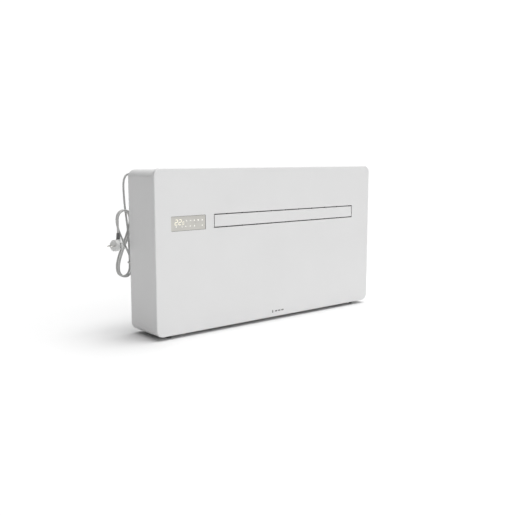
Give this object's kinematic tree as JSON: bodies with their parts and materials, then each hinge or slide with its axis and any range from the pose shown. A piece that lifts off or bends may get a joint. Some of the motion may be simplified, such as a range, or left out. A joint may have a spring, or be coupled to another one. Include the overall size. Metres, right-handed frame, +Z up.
{
  "type": "heat recovery unit",
  "caption": "Slim wall-hung heat recovery unit: flat front panel with a tilting outlet flap and display, counterflow exchanger, fans, dampers, filters and a mains lead.",
  "frame": {"origin": "on the floor under the middle of the casing, measured without the mains lead and the pieces on it", "axes": "+X to the right seen from the front, +Y into the wall, +Z up"},
  "size_m": [1.0714, 0.2396, 0.561],
  "materials": {
    "white_enamel": "satin powder coat",
    "galvanised": "plain zinc sheet, faint spangle",
    "rubber": "matt",
    "nickel": "bright plate",
    "grey_plastic": "moulded, fine grain",
    "black_plastic": "moulded, fine grain",
    "white_plastic": "moulded",
    "display_lens": "smoked satin window with lit digits behind it",
    "circuit_board": "solder mask",
    "exchanger_plastic": "thin translucent plates",
    "foam": "closed-cell foam",
    "filter_media": "pleated nonwoven",
    "cord_grey": "soft sheath, satin"
  },
  "bodies": {
    "casing": {"front_panel": "white_enamel", "case_shell": "white_enamel", "rear_panel": "galvanised", "wall_bracket": "galvanised", "foot_left_front": "rubber", "foot_left_rear": "rubber", "foot_right_front": "rubber", "foot_right_rear": "rubber", "panel_screw_left": "nickel", "panel_screw_right": "nickel", "outlet_frame": "black_plastic", "flap_bush": "black_plastic", "flap_motor": "grey_plastic", "display_lens": "display_lens", "display_frame": "black_plastic", "display_board": "circuit_board", "fan_scroll": "galvanised", "fan_tongue": "galvanised", "fan_end_plate_left": "galvanised", "fan_end_plate_right": "galvanised", "drum_bearing": "rubber", "supply_motor": "galvanised", "motor_cradle": "rubber", "exchanger_core": "exchanger_plastic", "core_rest_left": "foam", "core_rest_right": "foam", "condensate_tray": "black_plastic", "divider_left": "foam", "divider_right": "foam", "divider_lower": "foam", "divider_upper": "foam", "chamber_ceiling": "foam", "supply_filter_frame": "grey_plastic", "supply_filter_media": "filter_media", "exhaust_fan_shroud": "black_plastic", "exhaust_motor": "black_plastic", "intake_collar": "grey_plastic", "exhaust_collar": "grey_plastic", "intake_gasket": "foam", "exhaust_gasket": "foam", "control_box": "galvanised", "control_box_lid": "galvanised", "control_board": "circuit_board", "terminal_block": "white_plastic", "cord_gland": "grey_plastic", "mains_cord": "cord_grey", "plug_body": "cord_grey", "plug_pin_front": "nickel", "plug_pin_rear": "nickel", "cord_tie": "cord_grey"},
    "outlet_flap": {"flap": "white_enamel"},
    "supply_fan": {"supply_drum": "black_plastic"},
    "exhaust_fan": {"exhaust_impeller": "black_plastic"},
    "intake_leaf_left": {"intake_damper_left": "black_plastic"},
    "intake_leaf_right": {"intake_damper_right": "black_plastic"},
    "exhaust_leaf_left": {"exhaust_damper_left": "black_plastic"},
    "exhaust_leaf_right": {"exhaust_damper_right": "black_plastic"},
    "filter_cassette": {"intake_grille": "white_enamel", "extract_filter_frame": "grey_plastic", "extract_filter_media": "filter_media"}
  },
  "joints": [
    {"name": "flap_tilt", "type": "hinge", "parent": "casing", "child": "outlet_flap", "pos_m": [0.067, -0.0755, 0.3667], "axis": [1, 0, 0], "range_deg": [0, 68]},
    {"name": "supply_fan_spin", "type": "hinge", "parent": "casing", "child": "supply_fan", "pos_m": [0.0685, 0.01, 0.452], "axis": [1, 0, 0], "continuous": true},
    {"name": "exhaust_fan_spin", "type": "hinge", "parent": "casing", "child": "exhaust_fan", "pos_m": [0.36, -0.0155, 0.275], "axis": [0, 1, 0], "continuous": true},
    {"name": "intake_leaf_left_swing", "type": "hinge", "parent": "casing", "child": "intake_leaf_left", "pos_m": [0.36, 0.048, 0.11], "axis": [0, 0, 1], "range_deg": [0, 74], "stiffness_Nm_per_rad": 0.004, "springref_deg": -5.73},
    {"name": "intake_leaf_right_swing", "type": "hinge", "parent": "casing", "child": "intake_leaf_right", "pos_m": [0.36, 0.048, 0.11], "axis": [0, 0, -1], "range_deg": [0, 74], "stiffness_Nm_per_rad": 0.004, "springref_deg": -5.73},
    {"name": "exhaust_leaf_left_swing", "type": "hinge", "parent": "casing", "child": "exhaust_leaf_left", "pos_m": [0.36, 0.048, 0.275], "axis": [0, 0, -1], "range_deg": [0, 74], "stiffness_Nm_per_rad": 0.004, "springref_deg": -5.73},
    {"name": "exhaust_leaf_right_swing", "type": "hinge", "parent": "casing", "child": "exhaust_leaf_right", "pos_m": [0.36, 0.048, 0.275], "axis": [0, 0, 1], "range_deg": [0, 74], "stiffness_Nm_per_rad": 0.004, "springref_deg": -5.73},
    {"name": "filter_cassette_slide", "type": "slide", "parent": "casing", "child": "filter_cassette", "axis": [0, 0, -1], "range_m": [0, 0.045]}
  ]
}
